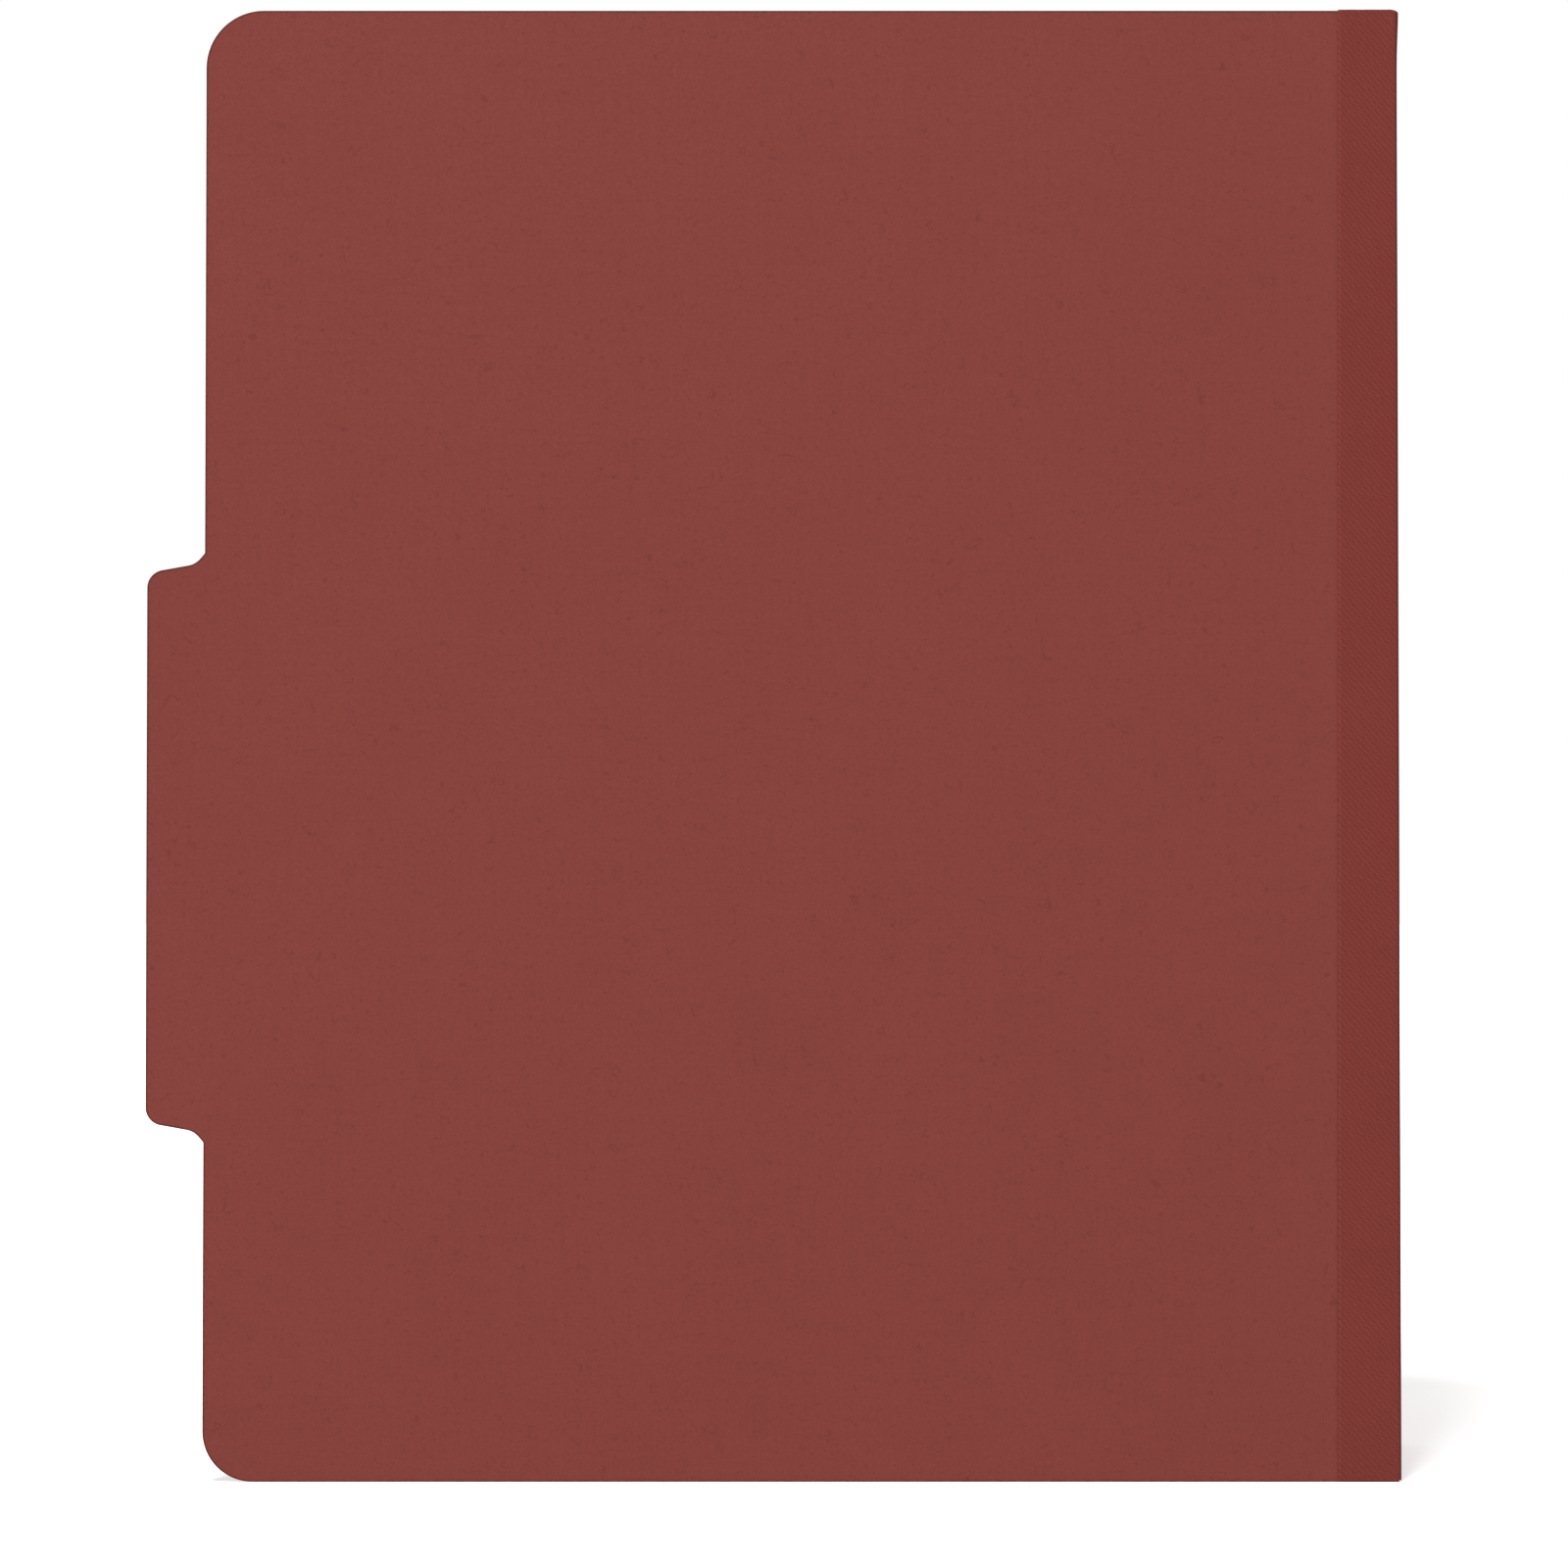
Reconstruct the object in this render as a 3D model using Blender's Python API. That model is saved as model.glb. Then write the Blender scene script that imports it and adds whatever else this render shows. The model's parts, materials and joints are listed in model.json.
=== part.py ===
"""Letter-size classification folder with two dividers, standing ajar on its short edge.

X runs from the tab to the spine, Y from the back cover to the front cover and Z up the
spine. Each leaf is drawn in a frame of its own, an empty on the crease that it swings
about: the leaf runs along -X from there and its front face looks to +Y.
"""

import math

import bmesh
import bpy
from mathutils import Vector

MM = 0.001

# Cover boards
COVER_HEIGHT = 298.45 * MM
COVER_WIDTH = 242.0 * MM
COVER_BOARD = 0.64 * MM
HEAD_CORNER_RADIUS = 11.7 * MM
FOOT_CORNER_RADIUS = 9.9 * MM

# Index tab, in one piece with the back cover
TAB_REACH = 11.55 * MM
TAB_LENGTH = 115.6 * MM
TAB_SLANT = 2.1 * MM
TAB_CENTRE = 128.55 * MM
TAB_OUTER_RADIUS = 4.0 * MM
TAB_INNER_RADIUS = 3.0 * MM

# Dividers, a little smaller than the covers all round
DIVIDER_SETBACK = 7.0 * MM
DIVIDER_BOARD = 0.45 * MM
DIVIDER_INSET = 3.5 * MM
DIVIDER_TAPE_WIDTH = 14.0 * MM

# Gusset of folded cloth tape: three pleats, with a narrow land at each divider
TAPE = 0.25 * MM
TAPE_FOOT = 0.3 * MM
TAPE_RISE = 0.2 * MM
EXPANSION = 50.8 * MM
FLANGE_WIDTH = 12.3 * MM
LAND = 2.0 * MM
EDGE_LAND = 2.5 * MM
CREASE_GAP = 0.45 * MM
PLEAT_ANGLE = 64.0
SECTION_ANGLE = 9.0

# Fasteners: a flat strip whose ends stand up as prongs, a compressor bar and two locks
PRONG_SPACING = 69.85 * MM
PRONG_LENGTH = 23.0 * MM
PRONG_WIDTH = 4.4 * MM
PRONG_GAP = 0.3 * MM
STRIP = 0.3 * MM
FASTENER_REACH = 121.0 * MM
FASTENER_DROP = 22.0 * MM
PATCH_END = 14.075 * MM
PATCH_WIDTH = 19.0 * MM
PATCH_BOARD = 0.3 * MM
PATCH_CORNER = 3.0 * MM
BAR_END = 9.575 * MM
BAR_WIDTH = 9.0 * MM
BAR_THICKNESS = 0.4 * MM
LOCK_LENGTH = 8.0 * MM
LOCK_SHEET = 0.3 * MM
LOCK_LIP = 1.3 * MM
LOCK_GAP = 0.8 * MM

# Clearance that neighbouring solids keep, and the number of straight steps in an arc
GAP = 0.2 * MM
ARC_STEPS = 10

PANEL = (EXPANSION - 2 * LAND) / 6
EDGE_OFFSET = TAPE / 2 + GAP
DIVIDER_WIDTH = COVER_WIDTH - DIVIDER_SETBACK
DIVIDER_HEIGHT = COVER_HEIGHT - 2 * DIVIDER_INSET
PATCH_LENGTH = PRONG_SPACING + 2 * PATCH_END
BAR_LENGTH = PRONG_SPACING + 2 * BAR_END
LOCK_PARK = (LOCK_GAP + LOCK_LENGTH) / 2


def rounded(corners):
    """Outline through (a, b, radius) corners, each one turned into an arc of its radius."""
    outline = []
    for index, (a, b, radius) in enumerate(corners):
        here = Vector((a, b))
        if not radius:
            outline.append(here)
            continue
        before = (Vector(corners[index - 1][:2]) - here).normalized()
        after = (Vector(corners[(index + 1) % len(corners)][:2]) - here).normalized()
        half = before.angle(after) / 2
        centre = here + (before + after).normalized() * radius / math.sin(half)
        start = here + before * radius / math.tan(half) - centre
        sweep = math.pi - 2 * half
        if before.x * after.y - before.y * after.x > 0:
            sweep = -sweep
        for step in range(ARC_STEPS + 1):
            angle = sweep * step / ARC_STEPS
            turned = Vector((
                start.x * math.cos(angle) - start.y * math.sin(angle),
                start.x * math.sin(angle) + start.y * math.cos(angle),
            ))
            outline.append(centre + turned)
    return outline


def rectangle(a_low, a_high, b_low, b_high, radius=0.0):
    """Outline of a rectangle, with all four corners rounded alike."""
    return rounded([
        (a_low, b_low, radius),
        (a_high, b_low, radius),
        (a_high, b_high, radius),
        (a_low, b_high, radius),
    ])


def prism(name, frame, material, outline, span, along, holes=()):
    """Solid of an outline pushed along one axis of its frame, from span[0] to span[1]."""
    place = {
        "X": lambda a, b, depth: (depth, a, b),
        "Y": lambda a, b, depth: (a, depth, b),
        "Z": lambda a, b, depth: (a, b, depth),
    }[along]
    shape = bmesh.new()
    for loop in (outline, *holes):
        points = [shape.verts.new(place(a, b, span[0])) for a, b in loop]
        for index, point in enumerate(points):
            shape.edges.new((points[index - 1], point))
    bmesh.ops.triangle_fill(shape, use_beauty=True, edges=shape.edges[:])
    swept = bmesh.ops.extrude_face_region(shape, geom=shape.faces[:])
    moved = [item for item in swept["geom"] if isinstance(item, bmesh.types.BMVert)]
    bmesh.ops.translate(shape, verts=moved, vec=place(0, 0, span[1] - span[0]))
    bmesh.ops.recalc_face_normals(shape, faces=shape.faces[:])
    mesh = bpy.data.meshes.new(name)
    shape.to_mesh(mesh)
    shape.free()
    mesh.materials.append(material)
    solid = bpy.data.objects.new(name, mesh)
    bpy.context.scene.collection.objects.link(solid)
    solid.parent = frame
    return solid


def add_frame(name, parent, place, clockwise=0.0, mirrored=False):
    """Empty on a joint's axis. It can be turned as seen from above, or mirrored end for end."""
    frame = bpy.data.objects.new(name, None)
    frame.empty_display_size = 5 * MM
    frame.parent = parent
    frame.location = (*place, 0.0) if len(place) == 2 else place
    frame.rotation_euler = (0.0, math.pi if mirrored else 0.0, -math.radians(clockwise))
    bpy.context.scene.collection.objects.link(frame)
    return frame


def plain_material(name, colour, roughness, metallic=0.0):
    """Opaque material of one colour."""
    material = bpy.data.materials.new(name)
    material.use_nodes = True
    surface = material.node_tree.nodes["Principled BSDF"]
    surface.inputs["Base Color"].default_value = (*colour, 1.0)
    surface.inputs["Roughness"].default_value = roughness
    surface.inputs["Metallic"].default_value = metallic
    return material


def make_materials():
    """The four stuffs that the folder is made of."""
    return {
        "pressboard": plain_material("red_pressboard", (0.24, 0.058, 0.048), 0.62),
        "cloth": plain_material("red_gusset_cloth", (0.21, 0.045, 0.037), 0.55),
        "kraft": plain_material("kraft_board", (0.44, 0.28, 0.15), 0.7),
        "steel": plain_material("tinned_steel", (0.72, 0.71, 0.68), 0.32, 1.0),
    }


def tape_span():
    """Foot and head of all cloth pieces."""
    return (TAPE_FOOT, COVER_HEIGHT + TAPE_RISE)


def back_cover_outline():
    """Back board with rounded fore corners and the index tab on its fore edge."""
    spine = -EDGE_OFFSET
    fore = spine - COVER_WIDTH
    tab = fore - TAB_REACH
    tab_top = TAB_CENTRE + TAB_LENGTH / 2
    tab_foot = TAB_CENTRE - TAB_LENGTH / 2
    return rounded([
        (spine, 0.0, 0.0),
        (spine, COVER_HEIGHT, 0.0),
        (fore, COVER_HEIGHT, HEAD_CORNER_RADIUS),
        (fore, tab_top, TAB_INNER_RADIUS),
        (tab, tab_top - TAB_SLANT, TAB_OUTER_RADIUS),
        (tab, tab_foot + TAB_SLANT, TAB_OUTER_RADIUS),
        (fore, tab_foot, TAB_INNER_RADIUS),
        (fore, 0.0, FOOT_CORNER_RADIUS),
    ])


def leaf_outline(spine, width, foot, head):
    """Board with square spine corners and rounded fore corners."""
    fore = spine - width
    return rounded([
        (spine, foot, 0.0),
        (spine, head, 0.0),
        (fore, head, HEAD_CORNER_RADIUS),
        (fore, foot, FOOT_CORNER_RADIUS),
    ])


def slit_outlines(centre, height):
    """The two slits that let a fastener's prong roots through a board or a bar."""
    slits = []
    for side in (-1, 1):
        middle = centre + side * PRONG_SPACING / 2
        half_width = PRONG_WIDTH / 2 + GAP
        slits.append(rectangle(
            middle - STRIP / 2 - GAP,
            middle + STRIP / 2 + GAP,
            height - half_width,
            height + half_width,
        ))
    return slits


def add_back_cover(frame, materials):
    """Back board with its tab, its inner face at y = 0."""
    prism("back_cover", frame, materials["pressboard"], back_cover_outline(),
          (-COVER_BOARD, 0.0), "Y")


def add_back_tape(frame, materials):
    """Cloth strip on the outside of the back board, turned over the board's spine edge."""
    skin = -COVER_BOARD - GAP
    outline = [
        (TAPE / 2, 0.0),
        (-TAPE / 2, 0.0),
        (-TAPE / 2, skin),
        (TAPE / 2 - FLANGE_WIDTH, skin),
        (TAPE / 2 - FLANGE_WIDTH, skin - TAPE),
        (TAPE / 2, skin - TAPE),
    ]
    prism("back_tape", frame, materials["cloth"], outline, tape_span(), "Z")


def add_pleat(first_panel, frame, start, materials):
    """Two panels that fold inwards from a crease. Returns the frame of their far crease."""
    second_panel = first_panel + 1
    near = add_frame(f"crease_{first_panel}", frame, (0.0, start), PLEAT_ANGLE)
    prism(f"gusset_panel_{first_panel}", near, materials["cloth"],
          rectangle(CREASE_GAP - PANEL, -CREASE_GAP, -TAPE / 2, TAPE / 2), tape_span(), "Z")
    valley = add_frame(f"crease_{second_panel}", near, (-PANEL, 0.0), -2 * PLEAT_ANGLE)
    prism(f"gusset_panel_{second_panel}", valley, materials["cloth"],
          rectangle(CREASE_GAP, PANEL - CREASE_GAP, -TAPE / 2, TAPE / 2), tape_span(), "Z")
    return add_frame(f"crease_after_{second_panel}", valley, (PANEL, 0.0), PLEAT_ANGLE)


def add_land(name, frame, width, materials):
    """Narrow strip between a pleat and the next leaf."""
    prism(name, frame, materials["cloth"],
          rectangle(-TAPE / 2, TAPE / 2, CREASE_GAP, width - CREASE_GAP), tape_span(), "Z")


def add_divider(name, frame, materials):
    """Divider board on the middle of its land, with two slits for its fastener."""
    middle = -LAND / 2
    spine = -EDGE_OFFSET - TAPE - GAP
    outline = leaf_outline(spine, DIVIDER_WIDTH, DIVIDER_INSET, DIVIDER_INSET + DIVIDER_HEIGHT)
    prism(name, frame, materials["kraft"], outline,
          (middle - DIVIDER_BOARD / 2, middle + DIVIDER_BOARD / 2), "Y",
          slit_outlines(-FASTENER_REACH, COVER_HEIGHT - FASTENER_DROP))


def add_divider_tape(name, frame, materials):
    """Cloth strip folded round the spine edge of a divider."""
    middle = -LAND / 2
    inner = DIVIDER_BOARD / 2 + GAP
    outer = inner + TAPE
    web = -EDGE_OFFSET
    end = web - DIVIDER_TAPE_WIDTH
    outline = [
        (web, middle - outer),
        (web, middle + outer),
        (end, middle + outer),
        (end, middle + inner),
        (web - TAPE, middle + inner),
        (web - TAPE, middle - inner),
        (end, middle - inner),
        (end, middle - outer),
    ]
    prism(name, frame, materials["cloth"], outline,
          (DIVIDER_INSET, DIVIDER_INSET + DIVIDER_HEIGHT), "Z")


def add_front_cover(frame, materials):
    """Front board, behind its own strip of cloth."""
    skin = -TAPE / 2 - GAP
    prism("front_cover", frame, materials["pressboard"],
          leaf_outline(-EDGE_OFFSET, COVER_WIDTH, 0.0, COVER_HEIGHT),
          (skin - COVER_BOARD, skin), "Y")


def add_front_tape(frame, materials):
    """Cloth strip on the outside of the front board."""
    prism("front_tape", frame, materials["cloth"],
          rectangle(-FLANGE_WIDTH, -CREASE_GAP, -TAPE / 2, TAPE / 2), tape_span(), "Z")


def under_bar(packing):
    """Height of the bar's underside over a face, which leaves room for the lips of the locks."""
    return packing + GAP + LOCK_SHEET + GAP


def crease_height(packing):
    """Height of the crease of the prongs over a face."""
    return under_bar(packing) + BAR_THICKNESS + GAP + STRIP / 2


def root_height(packing):
    """Height at which the standing root of a prong ends, just under its crease."""
    return crease_height(packing) - PRONG_GAP


def add_base(name, frame, materials, front_packing, rear_depth=None):
    """Flat strip with a standing root at each end. On a divider it has roots both ways."""
    outer = (PRONG_SPACING + STRIP) / 2
    inner = (PRONG_SPACING - STRIP) / 2
    top = root_height(front_packing)
    outline = [
        (outer, top),
        (inner, top),
        (inner, GAP + STRIP),
        (-inner, GAP + STRIP),
        (-inner, top),
        (-outer, top),
    ]
    if rear_depth is None:
        outline += [(-outer, GAP), (outer, GAP)]
    else:
        outline += [
            (-outer, -rear_depth),
            (-inner, -rear_depth),
            (-inner, GAP),
            (inner, GAP),
            (inner, -rear_depth),
            (outer, -rear_depth),
        ]
    prism(name, frame, materials["steel"], outline, (-PRONG_WIDTH / 2, PRONG_WIDTH / 2), "Z")


def add_patch(name, frame, materials):
    """Board strip glued over the base of a cover's fastener, with a slit for each root."""
    low = GAP + STRIP + GAP
    outline = rectangle(-PATCH_LENGTH / 2, PATCH_LENGTH / 2, -PATCH_WIDTH / 2, PATCH_WIDTH / 2,
                        PATCH_CORNER)
    prism(name, frame, materials["pressboard"], outline, (low, low + PATCH_BOARD), "Y",
          slit_outlines(0.0, 0.0))


def add_compressor(name, frame, materials, packing):
    """Round-ended bar that holds the papers down, with a slot for each prong."""
    low = under_bar(packing)
    end_radius = 0.49 * BAR_WIDTH
    outline = rectangle(-BAR_LENGTH / 2, BAR_LENGTH / 2, -BAR_WIDTH / 2, BAR_WIDTH / 2, end_radius)
    prism(name, frame, materials["steel"], outline, (low, low + BAR_THICKNESS), "Y",
          slit_outlines(0.0, 0.0))


def add_prong(name, frame, materials):
    """Prong laid along the bar, with a round tip. Its frame is on its crease."""
    half = PRONG_WIDTH / 2
    tip_radius = 0.98 * half
    outline = rounded([
        (PRONG_GAP, -half, 0.0),
        (PRONG_LENGTH, -half, tip_radius),
        (PRONG_LENGTH, half, tip_radius),
        (PRONG_GAP, half, 0.0),
    ])
    prism(name, frame, materials["steel"], outline, (-STRIP / 2, STRIP / 2), "Y")


def add_lock(name, frame, materials):
    """Sheet channel round the bar and over the prong. Its frame is level with the bar's underside."""
    side_in = BAR_WIDTH / 2 + GAP
    side_out = side_in + LOCK_SHEET
    roof_in = BAR_THICKNESS + GAP + STRIP + GAP
    roof_out = roof_in + LOCK_SHEET
    lip_in = -GAP
    lip_out = -GAP - LOCK_SHEET
    lip_end = side_out - LOCK_LIP
    outline = [
        (lip_out, -lip_end),
        (lip_out, -side_out),
        (roof_out, -side_out),
        (roof_out, side_out),
        (lip_out, side_out),
        (lip_out, lip_end),
        (lip_in, lip_end),
        (lip_in, side_in),
        (roof_in, side_in),
        (roof_in, -side_in),
        (lip_in, -side_in),
        (lip_in, -lip_end),
    ]
    prism(name, frame, materials["steel"], outline, (-LOCK_LENGTH / 2, LOCK_LENGTH / 2), "X")


def add_fastener_frame(name, leaf, face, looks_back):
    """Frame on a leaf's face: X along the bar, Y away from the face, Z up."""
    place = (-FASTENER_REACH, face, COVER_HEIGHT - FASTENER_DROP)
    return add_frame(f"{name}_fastener", leaf, place, 180.0 if looks_back else 0.0)


def add_clamp(name, frame, materials, packing, looks_back):
    """Compressor, prongs and locks over a face that already carries its base."""
    add_compressor(f"{name}_compressor", frame, materials, packing)
    for side in (-1, 1):
        end = "spine" if (side > 0) != looks_back else "fore"
        prong = add_frame(f"{name}_prong_{end}_crease", frame,
                          (side * PRONG_SPACING / 2, crease_height(packing)), mirrored=side > 0)
        add_prong(f"{name}_prong_{end}", prong, materials)
        lock = add_frame(f"{name}_lock_{end}_seat", frame,
                         (side * LOCK_PARK, under_bar(packing)), mirrored=side > 0)
        add_lock(f"{name}_lock_{end}", lock, materials)


def add_cover_fastener(name, leaf, face, looks_back, materials):
    """Whole fastener on the inside of a cover, its base under a glued patch."""
    packing = GAP + STRIP + GAP + PATCH_BOARD
    frame = add_fastener_frame(name, leaf, face, looks_back)
    add_base(f"{name}_base", frame, materials, packing)
    add_patch(f"{name}_patch", frame, materials)
    add_clamp(name, frame, materials, packing, looks_back)


def add_divider_fasteners(name, leaf, materials):
    """One base through a divider, with prongs and a compressor on both of its faces."""
    front_face = (DIVIDER_BOARD - LAND) / 2
    rear_face = front_face - DIVIDER_BOARD
    front_packing = GAP + STRIP
    rear_packing = 0.0
    front = add_fastener_frame(f"{name}_front", leaf, front_face, False)
    add_base(f"{name}_base", front, materials, front_packing,
             DIVIDER_BOARD + root_height(rear_packing))
    add_clamp(f"{name}_front", front, materials, front_packing, False)
    rear = add_fastener_frame(f"{name}_rear", leaf, rear_face, True)
    add_clamp(f"{name}_rear", rear, materials, rear_packing, True)


def add_divider_leaf(name, crease, materials):
    """Divider with its tape and fasteners, swung open from its land. Returns its frame."""
    add_land(f"{name}_land", crease, LAND, materials)
    leaf = add_frame(f"{name}_leaf", crease, (0.0, LAND), SECTION_ANGLE)
    add_divider(name, leaf, materials)
    add_divider_tape(f"{name}_tape", leaf, materials)
    add_divider_fasteners(name, leaf, materials)
    return leaf


def stand_on_origin(folder):
    """Puts the origin under the middle of the whole folder, on the floor."""
    bpy.context.view_layer.update()
    points = []
    for solid in bpy.context.scene.objects:
        if solid.type == "MESH":
            points += [solid.matrix_world @ vertex.co for vertex in solid.data.vertices]
    low = Vector([min(point[axis] for point in points) for axis in range(3)])
    high = Vector([max(point[axis] for point in points) for axis in range(3)])
    middle = (low + high) / 2
    folder.location = (-middle.x, -middle.y, -low.z)
    bpy.context.view_layer.update()


def main():
    for old in list(bpy.data.objects):
        bpy.data.objects.remove(old)
    materials = make_materials()
    folder = add_frame("folder", None, (0.0, 0.0))
    add_back_cover(folder, materials)
    add_back_tape(folder, materials)
    add_cover_fastener("back_cover", folder, 0.0, False, materials)
    crease = add_pleat(1, folder, CREASE_GAP, materials)
    rear_leaf = add_divider_leaf("rear_divider", crease, materials)
    crease = add_pleat(3, rear_leaf, 0.0, materials)
    front_leaf = add_divider_leaf("front_divider", crease, materials)
    crease = add_pleat(5, front_leaf, 0.0, materials)
    add_land("gusset_edge", crease, EDGE_LAND, materials)
    cover_leaf = add_frame("front_cover_leaf", crease, (0.0, EDGE_LAND), SECTION_ANGLE)
    add_front_tape(cover_leaf, materials)
    add_front_cover(cover_leaf, materials)
    add_cover_fastener("front_cover", cover_leaf, -TAPE / 2 - GAP - COVER_BOARD, True, materials)
    stand_on_origin(folder)


main()
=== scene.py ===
"""Looks of a letter-size classification folder: finishes, softened edges, folded cloth, light.

Each leaf is drawn in a frame that the joints give: the origin on the crease that the leaf
swings about, X towards the spine, Y towards the front cover and Z up. A fastener is drawn in a
frame on the creases of its prongs: X along the bar and Y away from the leaf. Units are metres.
"""

import json
import math

import bmesh
import bpy
from mathutils import Matrix, Vector, noise


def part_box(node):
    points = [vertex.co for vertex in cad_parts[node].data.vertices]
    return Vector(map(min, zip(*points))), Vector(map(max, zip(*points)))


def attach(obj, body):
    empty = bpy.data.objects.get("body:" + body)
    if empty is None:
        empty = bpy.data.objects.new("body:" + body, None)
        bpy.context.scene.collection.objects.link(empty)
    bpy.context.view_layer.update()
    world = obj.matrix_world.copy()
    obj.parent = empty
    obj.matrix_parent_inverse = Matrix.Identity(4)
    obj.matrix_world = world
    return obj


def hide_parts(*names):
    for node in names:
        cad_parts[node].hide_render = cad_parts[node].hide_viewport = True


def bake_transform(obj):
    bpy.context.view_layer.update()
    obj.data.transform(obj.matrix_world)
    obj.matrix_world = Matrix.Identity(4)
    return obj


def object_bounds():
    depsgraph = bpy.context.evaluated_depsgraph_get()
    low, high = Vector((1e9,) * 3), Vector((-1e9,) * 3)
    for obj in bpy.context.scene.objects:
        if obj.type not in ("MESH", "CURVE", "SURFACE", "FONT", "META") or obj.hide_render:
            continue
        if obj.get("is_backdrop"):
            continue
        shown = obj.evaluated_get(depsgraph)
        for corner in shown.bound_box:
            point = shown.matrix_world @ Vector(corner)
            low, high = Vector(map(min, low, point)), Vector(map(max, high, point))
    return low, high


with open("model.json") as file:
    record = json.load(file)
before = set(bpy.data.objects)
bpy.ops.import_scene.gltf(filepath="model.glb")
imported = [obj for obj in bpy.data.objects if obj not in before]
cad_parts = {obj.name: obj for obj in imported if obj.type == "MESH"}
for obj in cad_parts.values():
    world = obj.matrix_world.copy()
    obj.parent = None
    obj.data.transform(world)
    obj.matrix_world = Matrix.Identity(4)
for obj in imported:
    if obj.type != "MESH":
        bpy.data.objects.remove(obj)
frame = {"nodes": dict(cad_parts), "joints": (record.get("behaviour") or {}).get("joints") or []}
CAD_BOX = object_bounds()
JOINTS = {joint["name"]: joint for joint in frame["joints"]}

MM = 0.001

# Boards
COVER_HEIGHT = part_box("back_cover")[1].z
COVER_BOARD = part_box("back_cover")[1].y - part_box("back_cover")[0].y
COVER_WIDTH = 241.8 * MM
HEAD_CORNER_RADIUS = 11.7 * MM
FOOT_CORNER_RADIUS = 10.2 * MM
TAB_REACH = 11.7 * MM
TAB_LENGTH = 115.6 * MM
TAB_SLANT = 2.1 * MM
TAB_CENTRE = 128.15 * MM
TAB_OUTER_RADIUS = 3.65 * MM
TAB_THROAT = 1.9 * MM
TAB_THROAT_RADIUS = 4.2 * MM
TAB_NECK_RADIUS = 0.6 * MM
DIVIDER_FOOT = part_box("rear_divider")[0].z
DIVIDER_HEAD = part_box("rear_divider")[1].z
DIVIDER_WIDTH = 235.0 * MM
DIVIDER_BOARD = 0.45 * MM
DIVIDER_BOW = 1.5 * MM
BOW_SHARE = 0.3
BOW_STRIPS = 12
BOARD_RIM = 0.11 * MM
# Band along the cut edges where their tint fades: rubbed fibres, and on the red board painted edge
# shade
EDGE_WEAR_AND_SHADE_WIDTH = 2.6 * MM

# Cloth
TAPE = 0.25 * MM
TAPE_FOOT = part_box("back_tape")[0].z
TAPE_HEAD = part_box("back_tape")[1].z
EDGE_OFFSET = 0.325 * MM
FLANGE_WIDTH = 12.3 * MM
WRAP_RADIUS = 0.45 * MM
DIVIDER_TAPE_WIDTH = 14.0 * MM
LUG_WIDTH = 8.0 * MM
LAND = 2.0 * MM
EDGE_LAND = 2.5 * MM
PANEL = 7.8 * MM
PLEAT_LEAN = math.radians(26.0)
CREASE_GAP = 0.45 * MM
VALLEY_RADIUS = 0.6 * MM
RIDGE_RADIUS = 0.4 * MM
LUG_RADIUS = 0.2 * MM
GLUE = 0.01 * MM
CLOTH_STEP = 0.9 * MM
CLOTH_ROW = 3.0 * MM
HEAD_FLARE = 0.32 * MM
FLARE_HEIGHT = 16.0 * MM
CORNER_DROP = 0.95 * MM
FLARE_WIDTH = 3.0 * MM
CORNER_START = 1.0 * MM
CORNER_WIDTH = 1.5 * MM
TAPE_TAPER = 0.42 * MM
FOLD_RADIUS = 0.6 * MM
TAPE_RIPPLE = 0.05 * MM
DIVIDER_TAPE_RIPPLE = 0.03 * MM
PLEAT_RIPPLE = 0.5 * MM
PLEAT_HOLLOW = 0.1 * MM
RIPPLE_LENGTH = 6.0 * MM
RIPPLE_HEIGHT = 42.0 * MM
RIPPLE_LAYER = 0.7
CUT_WAVER = 0.12 * MM
WAVER_LENGTH = 2.5 * MM
WAVER_HEIGHT = 1.0 * MM
WAVER_LAYER = 0.3
FAR_FROM_CUT = 1000.0

# Share of half a width that the radius of a round end takes
ROUND_SHARE = 0.97

# Fasteners
PRONG_SPACING = 69.85 * MM
PRONG_LENGTH = 23.0 * MM
PRONG_WIDTH = 4.4 * MM
PRONG_TIP_RADIUS = ROUND_SHARE * PRONG_WIDTH / 2
STRIP = 0.3 * MM
STRIP_BEND = 0.35 * MM
STRIP_RIM = 0.49 * STRIP
GAP = 0.2 * MM
SLOT_LENGTH = 2 * (STRIP / 2 + GAP)
SLOT_WIDTH = 2 * (PRONG_WIDTH / 2 + GAP)
SLOT_CORNER = 0.6 * SLOT_LENGTH / 2
BAR_LENGTH = 89.0 * MM
BAR_WIDTH = 9.0 * MM
BAR_CORNER = 0.49 * BAR_WIDTH
BAR_THICKNESS = 0.4 * MM
BAR_RIM = 0.13 * MM
BAR_TOP = -STRIP / 2 - GAP
BAR_FOOT = BAR_TOP - BAR_THICKNESS
RIB_LENGTH = 58.0 * MM
RIB_WIDTH = 1.3 * MM
RIB_CORNER = 0.48 * RIB_WIDTH
RIB_HEIGHT = 0.24 * MM
RIB_OFFSET = 3.3 * MM
RIB_SLOPE = 0.85
DIMPLE_RADIUS = 1.1 * MM
DIMPLE_CORNER = ROUND_SHARE * DIMPLE_RADIUS
DIMPLE_OFFSET = 40.6 * MM
LOCK_LENGTH = 8.0 * MM
LOCK_SHEET = 0.3 * MM
LOCK_LIP = 1.3 * MM
LOCK_GAP = 0.8 * MM
LOCK_BEND = 0.42 * MM
LOCK_ROW = 0.2 * MM
LOCK_GRIP_HALF = 0.78 * BAR_WIDTH / 2
LOCK_GRIP_FADE = 0.6 * MM
LOCK_RIDGE = 0.16 * MM
LOCK_RIDGE_PITCH = 1.9 * MM
LOCK_RIDGE_HALF = 0.55 * MM
LOCK_FLARE = 0.14 * MM
LOCK_FLARE_LENGTH = 0.7 * MM
PATCH_LENGTH = 98.0 * MM
PATCH_WIDTH = 19.0 * MM
PATCH_BOARD = 0.3 * MM
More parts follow.
